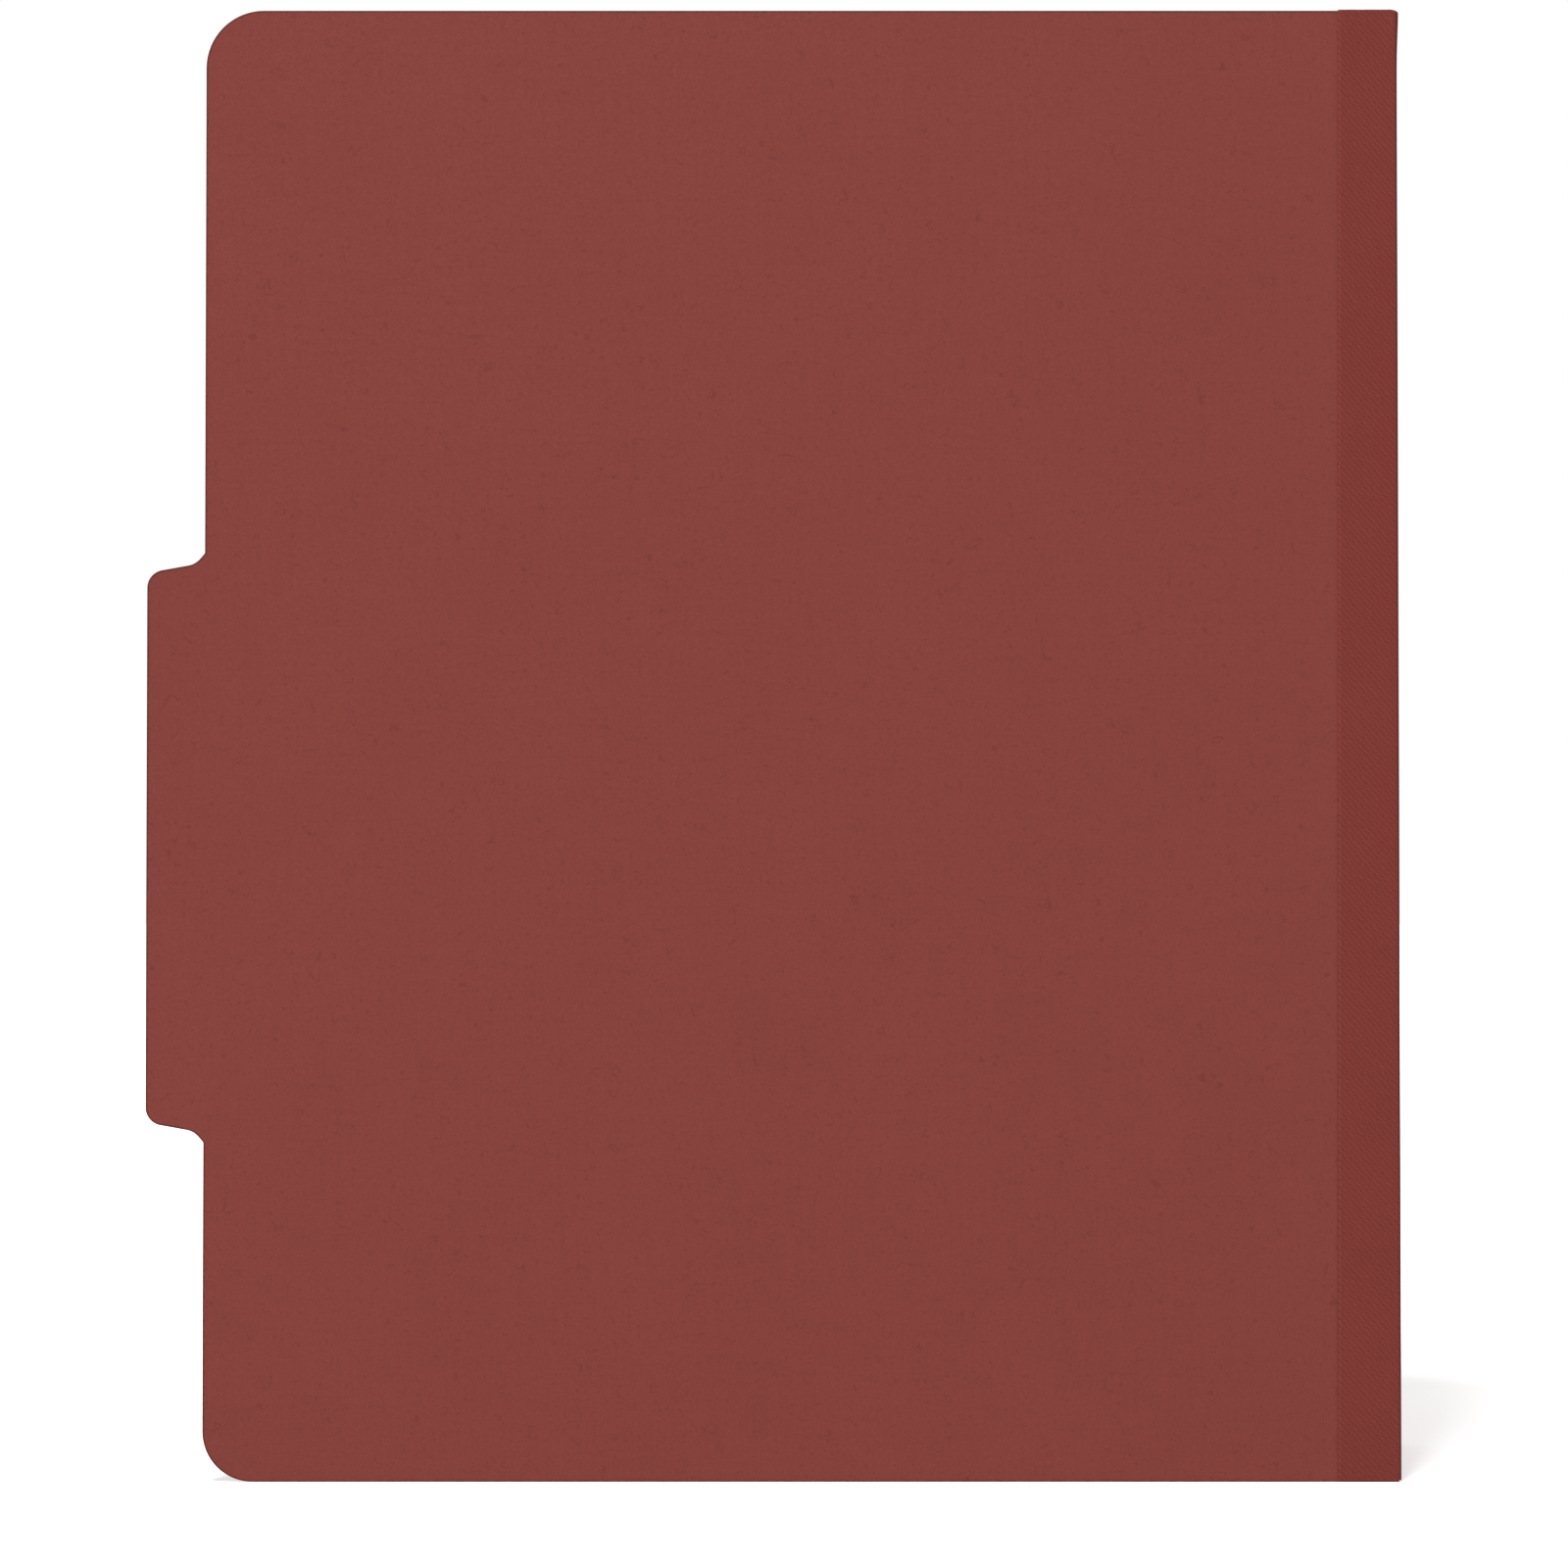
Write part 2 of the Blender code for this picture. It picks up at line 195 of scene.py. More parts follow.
PATCH_CORNER = 3.0 * MM
PATCH_BULGE = 0.4 * MM
PATCH_BULGE_LENGTH = 77.0 * MM
PATCH_BULGE_WIDTH = 9.0 * MM
PATCH_BULGE_CORNER = 0.48 * PATCH_BULGE_WIDTH

# Steps of corners, rounded edges and the slopes of ribs
ARC_STEPS = 16
RIM_STEPS = 3
RIB_STEPS = 5

# Hairs and scratches: how much they curl, how finely they break up, and how softly they end
HAIR_CURL = 0.6
HAIR_BREAKS = 1.7
HAIR_FADE = 0.08

# Colours, linear
RED_DEEP = (0.218, 0.0460, 0.0363)
RED_PALE = (0.236, 0.0511, 0.0409)
RED_FIBRE = (0.150, 0.0260, 0.0205)
# Cut edge of the red board: a darker line, partly rubbed fibres and partly painted edge shade
RED_CUT_WEAR_AND_SHADE = (0.110, 0.0200, 0.0160)
CLOTH_DEEP = (0.176, 0.0295, 0.0222)
CLOTH_PALE = (0.214, 0.0395, 0.0308)
CLOTH_PALE_EDGE = (0.240, 0.0500, 0.0400)
# Painted shade: the dark red that the cloth takes on along its sharp folds
CLOTH_FOLD_SHADE = (0.095, 0.0150, 0.0115)
KRAFT_DEEP = (0.375, 0.222, 0.108)
KRAFT_PALE = (0.470, 0.300, 0.160)
KRAFT_FIBRE = (0.235, 0.125, 0.055)
KRAFT_CUT = (0.540, 0.385, 0.235)
STEEL_DEEP = (0.470, 0.465, 0.450)
STEEL_PALE = (0.630, 0.625, 0.605)
WHITE = (1.0, 1.0, 1.0, 1.0)
FLOOR_WHITE = (0.86, 0.86, 0.86, 1.0)
FLOOR_SEEN = (0.95, 0.95, 0.95, 1.0)

# Floor: half its width, and the glow that grows between two distances from the folder
FLOOR_HALF = 6.0
GLOW_DISTANCES = (0.25, 1.2)
GLOW_STRENGTHS = (0.56, 1.0)

# Lamps: place and width in metres, power in watts. The world lights evenly from all round
LAMPS = {
    "key": ((-0.3, -0.75, 2.2), 0.5, 43.6),
    "fill": ((-1.6, -2.4, 0.15), 1.2, 11.0),
    "back": ((0.9, 3.2, 1.2), 3.0, 28.0),
}
WORLD_LIGHT = 0.32

# Camera: the photograph spans PHOTO_WIDTH at the distance of the back cover
PHOTO_WIDTH = 317.6 * MM
CAMERA_DISTANCE = 740.0 * MM
CAMERA_HEIGHT = 126.25 * MM
CAMERA_FROM_SPINE = 124.72 * MM
CAMERA_PITCH = math.radians(1.14)
SENSOR_WIDTH = 36.0

# Fastener sets: the body that carries each one, and whether it looks to the back
FASTENERS = {
    "back_cover": ("back", False),
    "rear_divider_rear": ("rear_leaf", True),
    "rear_divider_front": ("rear_leaf", False),
    "front_divider_rear": ("front_leaf", True),
    "front_divider_front": ("front_leaf", False),
    "front_cover": ("front", True),
}


# Frames

def upright_frame(origin, along):
    """Frame with X along a level direction and Z up."""
    x_axis = Vector(along).normalized()
    z_axis = Vector((0.0, 0.0, 1.0))
    made = Matrix((x_axis, z_axis.cross(x_axis), z_axis)).transposed().to_4x4()
    made.translation = origin
    return made


def leaf_frame(swing, fastener):
    """Frame on the crease that a leaf swings about."""
    return upright_frame(JOINTS[swing]["pos_m"], JOINTS[f"{fastener}_lock_spine_slide"]["axis"])


def folder_frame():
    """Frame of the back cover: X = 0 on the fold of the tape, Y = 0 on the board's inner face."""
    origin = (JOINTS["rear_section_swing"]["pos_m"][0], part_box("back_cover")[1].y, 0.0)
    return upright_frame(origin, JOINTS["back_cover_lock_spine_slide"]["axis"])


def fastener_frame(name, looks_back):
    """Frame midway between the creases of a fastener's two prongs."""
    spine = Vector(JOINTS[f"{name}_prong_spine_fold"]["pos_m"])
    fore = Vector(JOINTS[f"{name}_prong_fore_fold"]["pos_m"])
    return upright_frame((spine + fore) / 2, fore - spine if looks_back else spine - fore)


FOLDER = folder_frame()
REAR_LEAF = leaf_frame("rear_section_swing", "rear_divider_front")
FRONT_LEAF = leaf_frame("middle_section_swing", "front_divider_front")
FRONT_COVER = leaf_frame("front_section_swing", "front_cover")


# Outlines

def arc_at(before, here, after, radius):
    """Points of the arc that rounds a corner."""
    back = (before - here).normalized()
    ahead = (after - here).normalized()
    half = back.angle(ahead) / 2
    centre = here + (back + ahead).normalized() * radius / math.sin(half)
    start = here + back * radius / math.tan(half) - centre
    sweep = math.pi - 2 * half
    if back.x * ahead.y - back.y * ahead.x > 0:
        sweep = -sweep
    points = []
    for step in range(ARC_STEPS + 1):
        angle = sweep * step / ARC_STEPS
        points.append(centre + Matrix.Rotation(angle, 2) @ start)
    return points


def rounded(corners, closed=True):
    """Points along (a, b, radius) corners, each one turned into an arc of its radius."""
    places = [Vector(corner[:2]) for corner in corners]
    points = []
    for index, here in enumerate(places):
        radius = corners[index][2]
        at_end = not closed and index in (0, len(places) - 1)
        if at_end or not radius:
            points.append(here)
        else:
            after = places[(index + 1) % len(places)]
            points += arc_at(places[index - 1], here, after, radius)
    return points


def inset(corners, distance):
    """Corners of the outline that lies inside by a distance. Arcs keep their centres."""
    places = [Vector(corner[:2]) for corner in corners]
    count = len(places)
    area = sum(places[i - 1].x * places[i].y - places[i - 1].y * places[i].x for i in range(count))
    hand = 1.0 if area > 0 else -1.0
    moved = []
    for index, here in enumerate(places):
        along = (here - places[index - 1]).normalized()
        ahead = (places[(index + 1) % count] - here).normalized()
        inward = Vector((-along.y, along.x)) * hand
        inward_next = Vector((-ahead.y, ahead.x)) * hand
        shift = (inward + inward_next) * distance / (1.0 + inward.dot(inward_next))
        convex = (along.x * ahead.y - along.y * ahead.x) * hand > 0
        radius = corners[index][2]
        if radius:
            radius += -distance if convex else distance
        moved.append((here.x + shift.x, here.y + shift.y, radius))
    return moved


def rectangle(a_middle, b_middle, length, width, radius=0.0):
    """Corners of a rectangle round its middle, all rounded alike."""
    a_low = a_middle - length / 2
    a_high = a_middle + length / 2
    b_low = b_middle - width / 2
    b_high = b_middle + width / 2
    return [
        (a_low, b_low, radius),
        (a_high, b_low, radius),
        (a_high, b_high, radius),
        (a_low, b_high, radius),
    ]


def spaced(path, step):
    """Path with points added so that none of its stretches is longer than a step."""
    points = [path[0]]
    for here, after in zip(path, path[1:]):
        parts = max(1, math.ceil((after - here).length / step))
        points += [here.lerp(after, part / parts) for part in range(1, parts + 1)]
    return points


def evenly(low, high, step):
    """Stations from low to high, about a step apart."""
    parts = max(1, round((high - low) / step))
    return [low + (high - low) * part / parts for part in range(parts + 1)]


def smooth(value):
    """Eases from 0 to 1 as the value goes from 0 to 1."""
    held = min(max(value, 0.0), 1.0)
    return held * held * (3.0 - 2.0 * held)


# Meshes

def place_mesh(name, shape, matrix, material):
    """Object of a finished bmesh, standing in a frame."""
    bmesh.ops.recalc_face_normals(shape, faces=shape.faces[:])
    mesh = bpy.data.meshes.new(name)
    shape.to_mesh(mesh)
    shape.free()
    mesh.materials.append(material)
    piece = bpy.data.objects.new(name, mesh)
    piece.matrix_world = matrix
    bpy.context.scene.collection.objects.link(piece)
    return piece


def join_loops(shape, loops):
    """Smooth strips of faces between loops of as many points each."""
    for lower, upper in zip(loops, loops[1:]):
        count = len(lower)
        for index in range(count):
            after = (index + 1) % count
            face = shape.faces.new((lower[index], lower[after], upper[after], upper[index]))
            face.smooth = True


def rim_profile(rim):
    """(inset, drop) of the loops that round an edge, from the wall to the flat."""
    quarter = [math.pi / 2 * step / RIM_STEPS for step in range(RIM_STEPS + 1)]
    return [(rim * (1 - math.cos(angle)), rim * (1 - math.sin(angle))) for angle in quarter]


def crease_loop(shape, loop):
    """Keeps the shading on the two sides of a loop apart."""
    for index, point in enumerate(loop):
        shape.edges.get((loop[index - 1], point)).smooth = False


def fill_cap(shape, loops):
    """Flat face with the first loop as its outline and the others as holes."""
    if len(loops) == 1:
        shape.faces.new(loops[0])
        return
    edges = []
    for loop in loops:
        for index, point in enumerate(loop):
            pair = (loop[index - 1], point)
            edges.append(shape.edges.get(pair) or shape.edges.new(pair))
    bmesh.ops.triangle_fill(shape, use_beauty=True, edges=edges)


def raise_rib(shape, corners, level, height, draw_loop):
    """Smooth pressed rib on a flat. Returns the loop at its foot."""
    along, across, _ = zip(*corners)
    half = min(max(along) - min(along), max(across) - min(across)) / 2
    loops = []
    for step in range(RIB_STEPS + 1):
        share = step / RIB_STEPS
        outline = inset(corners, RIB_SLOPE * half * share)
        loops.append(draw_loop(outline, level + height * smooth(share), 0.0))
    join_loops(shape, loops)
    shape.faces.new(loops[-1]).smooth = True
    return loops[0]


def add_plate(name, corners, low, high, rim, matrix, material, holes=(), ribs=(), wear_and_shade_width=0.0):
    """Sheet between two levels of Y, with rounded edges, holes, and pressed ribs on its high side.

    The point attribute "edge" is 1 on the cut edge and falls to 0 across the band of the given
    width.
    The cut edges of the boards are tinted by it: rubbed fibres, and on the red board also painted
    edge shade.
    """
    shape = bmesh.new()
    edge = shape.verts.layers.float.new("edge")

    def draw_loop(outline, level, edge_wear_and_shade):
        points = []
        for a, b in rounded(outline):
            point = shape.verts.new((a, level, b))
            point[edge] = edge_wear_and_shade
            points.append(point)
        return points

    rounds = rim_profile(rim)
    walls = [draw_loop(inset(corners, gap), high - drop, 1.0) for gap, drop in reversed(rounds)]
    walls += [draw_loop(inset(corners, gap), low + drop, 1.0) for gap, drop in rounds]
    join_loops(shape, walls)
    caps = [walls[0], walls[-1]]
    if wear_and_shade_width:
        for side, level in enumerate((high, low)):
            inner = draw_loop(inset(corners, wear_and_shade_width), level, 0.0)
            join_loops(shape, [caps[side], inner])
            crease_loop(shape, caps[side])
            caps[side] = inner
    tops = [caps[0]]
    feet = [caps[1]]
    for hole in holes:
        upper = draw_loop(hole, high, 1.0)
        lower = draw_loop(hole, low, 1.0)
        join_loops(shape, [upper, lower])
        tops.append(upper)
        feet.append(lower)
    for outline, height in ribs:
        tops.append(raise_rib(shape, outline, high, height, draw_loop))
    fill_cap(shape, tops)
    fill_cap(shape, feet)
    return place_mesh(name, shape, matrix, material)


def bow_plate(piece, start, reach, bow):
    """Curls a board to +Y beyond a line at X = start, by the bow at the end of its reach."""
    shape = bmesh.new()
    shape.from_mesh(piece.data)
    for strip in range(BOW_STRIPS):
        line = Vector((start - reach * strip / BOW_STRIPS, 0.0, 0.0))
        everything = shape.verts[:] + shape.edges[:] + shape.faces[:]
        bmesh.ops.bisect_plane(shape, geom=everything, plane_co=line, plane_no=(1.0, 0.0, 0.0))
    for point in shape.verts:
        share = max(0.0, start - point.co.x) / reach
        point.co.y += bow * share * share
    shape.to_mesh(piece.data)
    shape.free()


def sideways(path):
    """Left-hand normal of a path at each of its points."""
    normals = []
    for index in range(len(path)):
        along = path[min(index + 1, len(path) - 1)] - path[max(index - 1, 0)]
        normals.append(Vector((-along.y, along.x)).normalized())
    return normals


def bends_along(path):
    """How sharply a path bends at each of its points: 0 where straight, 1 in a pressed fold."""
    bends = [0.0]
    for before, here, after in zip(path, path[1:], path[2:]):
        turn = (here - before).angle(after - here)
        bends.append(smooth(turn / (after - before).length * FOLD_RADIUS))
    return [*bends, 0.0]


def lengths_along(path):
    """Distance of each point of a path from its start."""
    total = 0.0
    lengths = [0.0]
    for here, after in zip(path, path[1:]):
        total += (after - here).length
        lengths.append(total)
    return lengths


def add_ribbon(name, path, thickness, stations, matrix, material, lift=None, slip=None, cut="",
               along="Z"):
    """Sheet of even thickness that follows a path in one plane and is swept through the stations.

    Its two edges along the sweep are round. The point attribute "weave" holds the distance along
    the path, the station, and the distance to the nearest cut edge, in millimetres, and "fold" is
    1 where the path bends sharply, which is where the cloth material paints shade. A lift moves
    points out of the sheet, and a slip along it.
    """
    shape = bmesh.new()
    weave = shape.verts.layers.float_vector.new("weave")
    fold = shape.verts.layers.float.new("fold")
    normals = sideways(path)
    lengths = lengths_along(path)
    bends = bends_along(path)

    def to_edge(length):
        to_start = length if "start" in cut else FAR_FROM_CUT
        to_end = lengths[-1] - length if "end" in cut else FAR_FROM_CUT
        return min(to_start, to_end)

    def draw(point, station, index):
        length = lengths[index]
        reach = station + (slip(length, station) if slip else 0.0)
        local = (point.x, point.y, reach) if along == "Z" else (reach, point.y, point.x)
        made = shape.verts.new(local)
        made[weave] = Vector((length, station, to_edge(length))) / MM
        made[fold] = bends[index]
        return made

    def section(station):
        shifts = [lift(length, station) if lift else 0.0 for length in lengths]
        middle = [point + normal * shift for point, normal, shift in zip(path, normals, shifts)]
        half = [normal * thickness / 2 for normal in normals]
        front = [draw(middle[index] + half[index], station, index) for index in range(len(path))]
        back = [draw(middle[index] - half[index], station, index) for index in range(len(path))]
        ends = []
        for index, turn in ((-1, -1.0), (0, 1.0)):
            points = []
            for step in range(1, 2 * RIM_STEPS):
                spun = Matrix.Rotation(turn * math.pi * step / (2 * RIM_STEPS), 2) @ normals[index]
                points.append(draw(middle[index] + spun * thickness / 2, station, index))
            ends.append(points)
        return front, ends[0], back, ends[1]

    sections = [section(station) for station in stations]
    rings = []
    for front, far_end, back, near_end in sections:
        rings.append(front + far_end + back[::-1] + near_end[::-1])
    join_loops(shape, rings)
    for front, far_end, back, near_end in (sections[0], sections[-1]):
        for index in range(len(path) - 1):
            shape.faces.new((front[index], front[index + 1], back[index + 1], back[index]))
        shape.faces.new([front[-1], *far_end, back[-1]])
        shape.faces.new([front[0], *near_end, back[0]])
    crease_loop(shape, rings[0])
    crease_loop(shape, rings[-1])
    return place_mesh(name, shape, matrix, material)


def merge_into(piece, other):
    """Adds another object's mesh to a piece that stands in the same frame."""
    shape = bmesh.new()
    shape.from_mesh(piece.data)
    shape.from_mesh(other.data)
    shape.to_mesh(piece.data)
    shape.free()
    bpy.data.objects.remove(other)


# Materials

class Graph:
    """Nodes of a material or a world. Values are plain ones or the sockets of earlier nodes."""

    def __init__(self, owner):
        self.owner = owner
        self.owner.use_nodes = True
        self.tree = self.owner.node_tree

    def feed(self, socket, value):
        """Links a socket or sets its value."""
        if isinstance(value, bpy.types.NodeSocket):
            self.tree.links.new(value, socket)
        else:
            socket.default_value = value

    def node(self, kind, inputs=(), **settings):
        """New node with its settings and with (socket, value) inputs."""
        made = self.tree.nodes.new(kind)
        for setting, value in settings.items():
            setattr(made, setting, value)
        for socket, value in inputs:
            self.feed(made.inputs[socket], value)
        return made

    def object_place(self):
        """The piece's own coordinates, in millimetres."""
        source = self.node("ShaderNodeTexCoord").outputs["Object"]
        return self.stretch(source, (1.0 / MM, 1.0 / MM, 1.0 / MM))

    def attribute(self, name, output):
        """A point attribute of the mesh."""
        return self.node("ShaderNodeAttribute", attribute_name=name).outputs[output]

    def stretch(self, place, scale):
        """Coordinates times a scale on each axis."""
        inputs = [(0, place), (1, scale)]
        return self.node("ShaderNodeVectorMath", inputs, operation="MULTIPLY").outputs[0]

    def compute(self, operation, first, second=0.0):
        """One step of arithmetic."""
        inputs = [(0, first), (1, second)]
        return self.node("ShaderNodeMath", inputs, operation=operation).outputs[0]

    def weigh(self, *pairs):
        """Sum of values, each times its weight."""
        total = 0.0
        for value, weight in pairs:
            total = self.compute("ADD", self.compute("MULTIPLY", value, weight), total)
        return total

    def clouds(self, place, scale, detail=2.0, curl=0.0):
        """Soft noise from 0 to 1, with its scale in features to the millimetre."""
        inputs = [("Vector", place), ("Scale", scale), ("Detail", detail), ("Distortion", curl)]
        return self.node("ShaderNodeTexNoise", inputs).outputs["Fac"]

    def fit(self, value, source, target=(0.0, 1.0)):
        """Value moved from one range into another, eased and held at the ends."""
        inputs = [(0, value), *enumerate((*source, *target), start=1)]
        made = self.node("ShaderNodeMapRange", inputs, interpolation_type="SMOOTHSTEP")
        return made.outputs[0]

    def fibres(self, place, scale, width, share):
        """Short curved hairs: thin lines between the swells of a noise, broken up by another."""
        swell = self.compute("SUBTRACT", self.clouds(place, scale, detail=1.0, curl=HAIR_CURL), 0.5)
        line = self.fit(self.compute("ABSOLUTE", swell), (0.0, width), (1.0, 0.0))
        breaks = self.clouds(place, HAIR_BREAKS * scale, detail=1.0)
        broken = self.fit(breaks, (share, share + HAIR_FADE))
        return self.compute("MULTIPLY", line, broken)

    def wave(self, place, direction, pitch, jitter):
        """Ridges across a direction, from -1 to 1."""
        turns = [part * 2 * math.pi / pitch for part in direction]
        inputs = [(0, place), (1, (*turns, 0.0))]
        phase = self.node("ShaderNodeVectorMath", inputs, operation="DOT_PRODUCT").outputs["Value"]
        return self.compute("SINE", self.compute("ADD", phase, jitter))

    def mix(self, factor, first, second):
        """Colour between two colours."""
        made = self.node("ShaderNodeMix", data_type="RGBA")
        self.feed(made.inputs[0], factor)
        for socket, colour in ((6, first), (7, second)):
            self.feed(made.inputs[socket], (*colour, 1.0) if isinstance(colour, tuple) else colour)
        return made.outputs[2]

    def finish(self, colour, roughness, height, relief, specular=0.5, metallic=0.0):
        """Links colour, roughness and relief to the surface of a material."""
        bump_inputs = [("Height", height), ("Distance", relief), ("Strength", 1.0)]
        bump = self.node("ShaderNodeBump", bump_inputs)
        looks = {
            "Base Color": colour,
            "Roughness": roughness,
            "Specular IOR Level": specular,
            "Metallic": metallic,
            "Normal": bump.outputs["Normal"],
        }
        for socket, value in looks.items():
            self.feed(self.tree.nodes["Principled BSDF"].inputs[socket], value)
        return self.owner

    def split(self, carried, seen, output):
        """Shows one shader to rays that carry light, and another to the camera and in mirrors."""
        rays = self.node("ShaderNodeLightPath").outputs
        share = self.compute("ADD", rays["Is Camera Ray"], rays["Is Glossy Ray"])
        share = self.compute("ADD", share, rays["Is Transmission Ray"])
        share = self.compute("MINIMUM", share, 1.0)
        inputs = [(0, share), (1, carried.outputs[0]), (2, seen.outputs[0])]
        mix = self.node("ShaderNodeMixShader", inputs)
        self.feed(self.tree.nodes[output].inputs["Surface"], mix.outputs[0])


def make_board_material(name, deep, pale, fibre, cut, fibre_weight, streak_weight, roughness):
    """Pressed board: mottled, with crossed streaks, short dark hairs and a cut edge tinted by
    rubbing, on the red board also by painted edge shade.
    """
    graph = Graph(bpy.data.materials.new(name))
    place = graph.object_place()
    mottle = graph.clouds(place, scale=0.035, detail=3.0)
    level = graph.clouds(graph.stretch(place, (0.09, 1.0, 1.3)), scale=1.0)
    upright = graph.clouds(graph.stretch(place, (1.3, 1.0, 0.09)), scale=1.0)
    grit = graph.clouds(place, scale=1.9)
    plain = 1.0 - 2 * streak_weight
    tone = graph.weigh((mottle, 0.25 * plain), (level, streak_weight), (upright, streak_weight),
                       (grit, 0.75 * plain))
    long_hairs = graph.fibres(place, scale=0.33, width=0.022, share=0.5)
    crimped = graph.stretch(place, (0.9, 1.0, 1.1))
    short_hairs = graph.fibres(crimped, scale=0.8, width=0.035, share=0.52)
    hairs = graph.compute("MAXIMUM", long_hairs, short_hairs)
    colour = graph.mix(graph.fit(tone, (0.32, 0.68)), deep, pale)
    colour = graph.mix(graph.compute("MULTIPLY", hairs, fibre_weight), colour, fibre)
    # Cut-edge tint: rubbed fibres, and on the red board a darker line that is partly painted edge
    # shade
    edge_wear_and_shade = graph.attribute("edge", "Fac")
    ragged = graph.compute("ADD", edge_wear_and_shade, graph.fit(grit, (0.3, 0.7), (-0.05, 0.05)))
    colour = graph.mix(graph.fit(ragged, (0.82, 0.98), (0.0, 0.85)), colour, cut)
    height = graph.weigh((grit, 0.5), (level, 0.3), (upright, 0.3), (hairs, -0.25))
    rough = graph.fit(tone, (0.35, 0.65), (roughness + 0.05, roughness - 0.05))
    return graph.finish(colour, rough, height, relief=0.028 * MM, specular=0.15)


def make_cloth_material():
    """Embossed book cloth: slanting ridges broken by cross threads, a pale cut edge, and painted
    shade along its sharp folds.
    """
    graph = Graph(bpy.data.materials.new("red_gusset_cloth_weave"))
    place = graph.attribute("weave", "Vector")
    flat = graph.stretch(place, (1.0, 1.0, 0.0))
    slub = graph.clouds(flat, scale=0.9)
    drift = graph.fit(slub, (0.2, 0.8), (-1.5, 1.5))
    ridges = graph.wave(flat, direction=(0.75, 0.66), pitch=0.92, jitter=drift)
    threads = graph.wave(flat, direction=(0.66, -0.75), pitch=1.25, jitter=drift)
    knots = graph.compute("MULTIPLY", ridges, threads)
    fine = graph.clouds(flat, scale=3.2)
    weave = graph.weigh((ridges, 0.26), (knots, 0.22), (fine, 0.5))
    weave = graph.compute("ADD", weave, 0.25)
    mottle = graph.clouds(flat, scale=0.05)
    tone = graph.weigh((weave, 0.72), (mottle, 0.28))
    colour = graph.mix(graph.fit(tone, (0.2, 0.8)), CLOTH_DEEP, CLOTH_PALE)
    to_edge = graph.node("ShaderNodeSeparateXYZ", [(0, place)]).outputs["Z"]
    # The cloth is paler in dots along its cut edge
    pale_edge_share = graph.fit(to_edge, (0.25, 0.6), (1.0, 0.0))
    dots = graph.fit(weave, (0.3, 0.7), (0.1, 0.6))
    colour = graph.mix(graph.compute("MULTIPLY", pale_edge_share, dots), colour, CLOTH_PALE_EDGE)
    # Painted shade: the cloth is darkened along its sharp folds
    fold = graph.fit(graph.attribute("fold", "Fac"), (0.1, 0.9), (0.0, 0.6))
    colour = graph.mix(fold, colour, CLOTH_FOLD_SHADE)
    rough = graph.fit(weave, (0.1, 0.9), (0.62, 0.5))
    return graph.finish(colour, rough, weave, relief=0.032 * MM, specular=0.15)


def make_steel_material():
    """Tinned sheet: drawn along its length, with a dull bloom and fine scratches."""
    graph = Graph(bpy.data.materials.new("tinned_steel_drawn"))
    place = graph.object_place()
    drawn = graph.clouds(graph.stretch(place, (0.06, 3.5, 3.5)), scale=1.0, detail=3.0)
    bloom = graph.clouds(place, scale=0.28, detail=3.0)
    lengthways = graph.stretch(place, (0.25, 1.0, 1.0))
    scratches = graph.fibres(lengthways, scale=0.5, width=0.012, share=0.52)
    tone = graph.weigh((drawn, 0.55), (bloom, 0.45))
    colour = graph.mix(graph.fit(tone, (0.3, 0.7)), STEEL_DEEP, STEEL_PALE)
    colour = graph.mix(graph.compute("MULTIPLY", scratches, 0.5), colour, STEEL_DEEP)
    rough = graph.fit(tone, (0.3, 0.7), (0.5, 0.34))
    height = graph.weigh((drawn, 1.0), (scratches, -0.6))
    return graph.finish(colour, rough, height, relief=0.004 * MM, metallic=1.0)


PRESSBOARD = make_board_material("red_pressboard_grain", RED_DEEP, RED_PALE, RED_FIBRE, RED_CUT_WEAR_AND_SHADE,
                                 fibre_weight=0.42, streak_weight=0.14, roughness=0.6)
KRAFT = make_board_material("kraft_board_grain", KRAFT_DEEP, KRAFT_PALE, KRAFT_FIBRE, KRAFT_CUT,
                            fibre_weight=0.6, streak_weight=0.1, roughness=0.72)
CLOTH = make_cloth_material()
STEEL = make_steel_material()


# Boards

def back_cover_corners():
    """Back board with rounded fore corners and the index tab on its fore edge."""
    spine = -EDGE_OFFSET
    fore = spine - COVER_WIDTH
    tab = fore - TAB_REACH
    tab_top = TAB_CENTRE + TAB_LENGTH / 2
    tab_foot = TAB_CENTRE - TAB_LENGTH / 2
    throat = fore - TAB_THROAT
    throat_slant = TAB_SLANT * TAB_THROAT / TAB_REACH
    return [
        (spine, 0.0, 0.0),
        (spine, COVER_HEIGHT, 0.0),
        (fore, COVER_HEIGHT, HEAD_CORNER_RADIUS),
        (fore, tab_top + TAB_THROAT, TAB_NECK_RADIUS),
        (throat, tab_top - throat_slant, TAB_THROAT_RADIUS),
        (tab, tab_top - TAB_SLANT, TAB_OUTER_RADIUS),
        (tab, tab_foot + TAB_SLANT, TAB_OUTER_RADIUS),
        (throat, tab_foot + throat_slant, TAB_THROAT_RADIUS),
        (fore, tab_foot - TAB_THROAT, TAB_NECK_RADIUS),
        (fore, 0.0, FOOT_CORNER_RADIUS),
    ]


def leaf_corners(spine, width, foot, head):
    """Board with square spine corners and rounded fore corners."""
    return [
        (spine, foot, 0.0),
        (spine, head, 0.0),
        (spine - width, head, HEAD_CORNER_RADIUS),
        (spine - width, foot, FOOT_CORNER_RADIUS),
    ]


def add_back_cover():
    """Back board with the index tab."""
    board = add_plate("back_cover_board", back_cover_corners(), -COVER_BOARD, 0.0, BOARD_RIM,
                      FOLDER, PRESSBOARD, wear_and_shade_width=EDGE_WEAR_AND_SHADE_WIDTH)
    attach(board, "back")
    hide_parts("back_cover")


